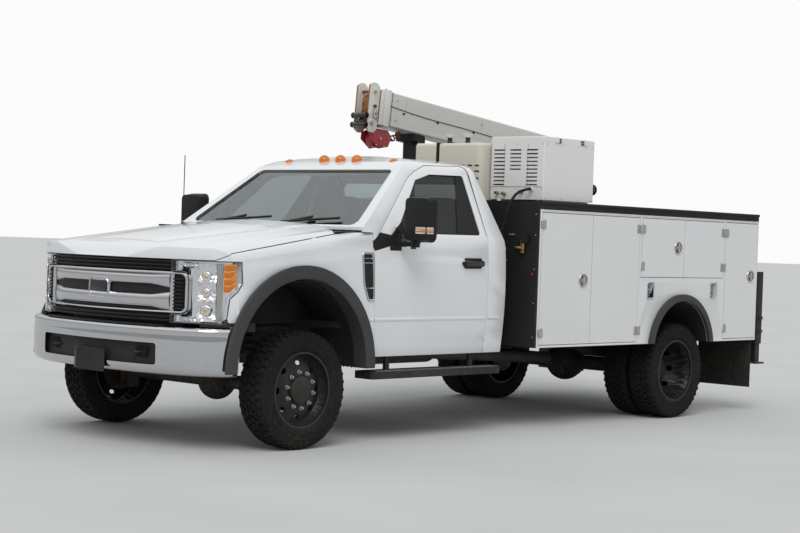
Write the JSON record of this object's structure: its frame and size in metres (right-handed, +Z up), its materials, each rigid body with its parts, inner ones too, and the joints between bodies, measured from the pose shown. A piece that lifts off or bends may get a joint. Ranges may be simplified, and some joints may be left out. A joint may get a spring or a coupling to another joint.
{
  "type": "mechanics service truck",
  "caption": "Regular-cab service truck with dual rear wheels, side tool cabinets, a swinging telescopic crane, compressor cabinet and stabiliser legs.",
  "frame": {"origin": "on the ground under the middle of the whole truck", "axes": "+X towards the front of the truck, +Y to the driver's side (left), +Z up"},
  "size_m": [6.67, 2.655, 2.7614],
  "materials": {
    "white_paint": "gloss",
    "boom_paint": "satin",
    "black_steel": "satin",
    "plated_rod": "polished",
    "cast_block": "rough",
    "glass": "clear",
    "lamp": "clear",
    "amber_lens": "gloss",
    "black_plastic": "grained",
    "cloth": "woven",
    "chrome": "polished",
    "tyre_and_rim": "rough",
    "tank_plastic": "satin",
    "hose_rubber": "satin"
  },
  "bodies": {
    "chassis": {"frame_rails": "black_steel", "powertrain": "cast_block", "front_axle": "black_steel", "rear_axle": "black_steel", "fuel_tank": "black_steel", "cab_shell": "white_paint", "cab_glass": "glass", "dashboard": "black_plastic", "seats": "cloth", "cowl_trim": "black_plastic", "fenders": "white_paint", "wheel_guards": "black_plastic", "grille_frame": "chrome", "grille_louvres": "black_plastic", "headlamps": "lamp", "front_bumper": "chrome", "bumper_trim": "black_plastic", "marker_lamps": "amber_lens", "running_boards": "black_plastic", "cabinet_left": "white_paint", "cabinet_right": "white_paint", "bed_floor": "black_steel", "top_trays": "black_steel", "rear_bumper": "black_steel", "compressor_cabinet": "white_paint", "reservoir_tank": "tank_plastic", "air_hose": "hose_rubber", "crane_supports": "boom_paint"},
    "knuckle_left": {"knuckle_left": "black_steel"},
    "front_wheel_left": {"front_wheel_left": "tyre_and_rim"},
    "rear_wheels_left": {"rear_wheels_left": "tyre_and_rim"},
    "door_left": {"door_left": "white_paint", "door_glass_left": "glass"},
    "knuckle_right": {"knuckle_right": "black_steel"},
    "front_wheel_right": {"front_wheel_right": "tyre_and_rim"},
    "rear_wheels_right": {"rear_wheels_right": "tyre_and_rim"},
    "door_right": {"door_right": "white_paint", "door_glass_right": "glass"},
    "steering_wheel": {"steering_wheel": "black_plastic"},
    "hood": {"hood": "white_paint"},
    "door_a_left": {"door_a_left": "white_paint"},
    "door_a_right": {"door_a_right": "white_paint"},
    "door_b_left": {"door_b_left": "white_paint"},
    "door_b_right": {"door_b_right": "white_paint"},
    "door_c_left": {"door_c_left": "white_paint"},
    "door_c_right": {"door_c_right": "white_paint"},
    "door_d_left": {"door_d_left": "white_paint"},
    "door_d_right": {"door_d_right": "white_paint"},
    "door_e_left": {"door_e_left": "white_paint"},
    "door_e_right": {"door_e_right": "white_paint"},
    "tailgate": {"tailgate": "white_paint"},
    "compressor_lid": {"compressor_lid": "white_paint"},
    "stabiliser_leg_left": {"stabiliser_leg_left": "black_steel"},
    "stabiliser_leg_right": {"stabiliser_leg_right": "black_steel"},
    "crane_turret": {"crane_turret": "boom_paint"},
    "main_boom": {"main_boom": "boom_paint"},
    "middle_boom": {"middle_boom": "boom_paint"},
    "boom_head": {"boom_head": "boom_paint"},
    "lift_cylinder": {"lift_cylinder": "black_steel"},
    "lift_rod": {"lift_rod": "plated_rod"}
  },
  "joints": [
    {"name": "steer_left", "type": "hinge", "parent": "chassis", "child": "knuckle_left", "pos_m": [2.363, 0.842, 0.4], "axis": [0, 0, 1], "range_deg": [-35, 35]},
    {"name": "front_wheel_left_spin", "type": "hinge", "parent": "knuckle_left", "child": "front_wheel_left", "pos_m": [2.363, 0.95, 0.4], "axis": [0, 1, 0], "continuous": true},
    {"name": "rear_wheels_left_spin", "type": "hinge", "parent": "chassis", "child": "rear_wheels_left", "pos_m": [-1.93, 0.94, 0.4], "axis": [0, 1, 0], "continuous": true},
    {"name": "door_left_hinge", "type": "hinge", "parent": "chassis", "child": "door_left", "pos_m": [1.652, 1.01, 1.1], "axis": [0, 0, -1], "range_deg": [0, 65]},
    {"name": "steer_right", "type": "hinge", "parent": "chassis", "child": "knuckle_right", "pos_m": [2.363, -0.842, 0.4], "axis": [0, 0, 1], "range_deg": [-35, 35]},
    {"name": "front_wheel_right_spin", "type": "hinge", "parent": "knuckle_right", "child": "front_wheel_right", "pos_m": [2.363, -0.95, 0.4], "axis": [0, 1, 0], "continuous": true},
    {"name": "rear_wheels_right_spin", "type": "hinge", "parent": "chassis", "child": "rear_wheels_right", "pos_m": [-1.93, -0.94, 0.4], "axis": [0, 1, 0], "continuous": true},
    {"name": "door_right_hinge", "type": "hinge", "parent": "chassis", "child": "door_right", "pos_m": [1.652, -1.01, 1.1], "axis": [0, 0, 1], "range_deg": [0, 65]},
    {"name": "steering_wheel_turn", "type": "hinge", "parent": "chassis", "child": "steering_wheel", "pos_m": [1.29, 0.42, 1.335], "axis": [-0.9135, 0, 0.4067], "range_deg": [-430, 430]},
    {"name": "hood_hinge", "type": "hinge", "parent": "chassis", "child": "hood", "pos_m": [1.8, 0, 1.6], "axis": [0, -1, 0], "range_deg": [0, 50]},
    {"name": "door_a_left_hinge", "type": "hinge", "parent": "chassis", "child": "door_a_left", "pos_m": [0.0165, 1.2135, 1.17], "axis": [0, 0, -1], "range_deg": [0, 90]},
    {"name": "door_a_right_hinge", "type": "hinge", "parent": "chassis", "child": "door_a_right", "pos_m": [0.0165, -1.2135, 1.17], "axis": [0, 0, 1], "range_deg": [0, 90]},
    {"name": "door_b_left_hinge", "type": "hinge", "parent": "chassis", "child": "door_b_left", "pos_m": [-1.2865, 1.2135, 1.17], "axis": [0, 0, 1], "range_deg": [0, 90]},
    {"name": "door_b_right_hinge", "type": "hinge", "parent": "chassis", "child": "door_b_right", "pos_m": [-1.2865, -1.2135, 1.17], "axis": [0, 0, -1], "range_deg": [0, 90]},
    {"name": "door_c_left_hinge", "type": "hinge", "parent": "chassis", "child": "door_c_left", "pos_m": [-1.3195, 1.2135, 1.43], "axis": [0, 0, -1], "range_deg": [0, 90]},
    {"name": "door_c_right_hinge", "type": "hinge", "parent": "chassis", "child": "door_c_right", "pos_m": [-1.3195, -1.2135, 1.43], "axis": [0, 0, 1], "range_deg": [0, 90]},
    {"name": "door_d_left_hinge", "type": "hinge", "parent": "chassis", "child": "door_d_left", "pos_m": [-2.5645, 1.2135, 1.43], "axis": [0, 0, 1], "range_deg": [0, 90]},
    {"name": "door_d_right_hinge", "type": "hinge", "parent": "chassis", "child": "door_d_right", "pos_m": [-2.5645, -1.2135, 1.43], "axis": [0, 0, -1], "range_deg": [0, 90]},
    {"name": "door_e_left_hinge", "type": "hinge", "parent": "chassis", "child": "door_e_left", "pos_m": [-2.5955, 1.2135, 1.17], "axis": [0, 0, -1], "range_deg": [0, 90]},
    {"name": "door_e_right_hinge", "type": "hinge", "parent": "chassis", "child": "door_e_right", "pos_m": [-2.5955, -1.2135, 1.17], "axis": [0, 0, 1], "range_deg": [0, 90]},
    {"name": "tailgate_hinge", "type": "hinge", "parent": "chassis", "child": "tailgate", "pos_m": [-3.125, 0, 0.949], "axis": [0, -1, 0], "range_deg": [0, 90]},
    {"name": "compressor_lid_hinge", "type": "hinge", "parent": "chassis", "child": "compressor_lid", "pos_m": [-0.39, 0.605, 2.265], "axis": [1, 0, 0], "range_deg": [0, 80]},
    {"name": "stabiliser_leg_left_slide", "type": "slide", "parent": "chassis", "child": "stabiliser_leg_left", "axis": [0, 0, -1], "range_m": [0, 0.4]},
    {"name": "stabiliser_leg_right_slide", "type": "slide", "parent": "chassis", "child": "stabiliser_leg_right", "axis": [0, 0, -1], "range_m": [0, 0.4]},
    {"name": "crane_slew", "type": "hinge", "parent": "chassis", "child": "crane_turret", "pos_m": [-2.885, -0.935, 1.804], "axis": [0, 0, 1], "range_deg": [-185, 185]},
    {"name": "boom_luff", "type": "hinge", "parent": "crane_turret", "child": "main_boom", "pos_m": [-2.985, -0.935, 2.282], "axis": [0, -1, 0], "range_deg": [0, 70]},
    {"name": "middle_boom_slide", "type": "slide", "parent": "main_boom", "child": "middle_boom", "axis": [0.9947, 0, 0.1028], "range_m": [0, 1.22]},
    {"name": "boom_head_slide", "type": "slide", "parent": "middle_boom", "child": "boom_head", "axis": [0.9947, 0, 0.1028], "range_m": [0, 1.22]},
    {"name": "lift_cylinder_pivot", "type": "hinge", "parent": "crane_turret", "child": "lift_cylinder", "pos_m": [-2.69, -0.935, 1.935], "axis": [0, -1, 0], "range_deg": [0, 68]},
    {"name": "lift_rod_slide", "type": "slide", "parent": "lift_cylinder", "child": "lift_rod", "axis": [0.9518, 0, 0.3066], "range_m": [0, 0.54]}
  ],
  "couplings": [
    {"joint": "steer_right", "follows": "steer_left", "ratio": 1},
    {"joint": "steering_wheel_turn", "follows": "steer_left", "ratio": 12},
    {"joint": "lift_cylinder_pivot", "follows": "boom_luff", "ratio": 0.9575},
    {"joint": "lift_rod_slide", "follows": "boom_luff", "m_per_rad": 0.433}
  ]
}
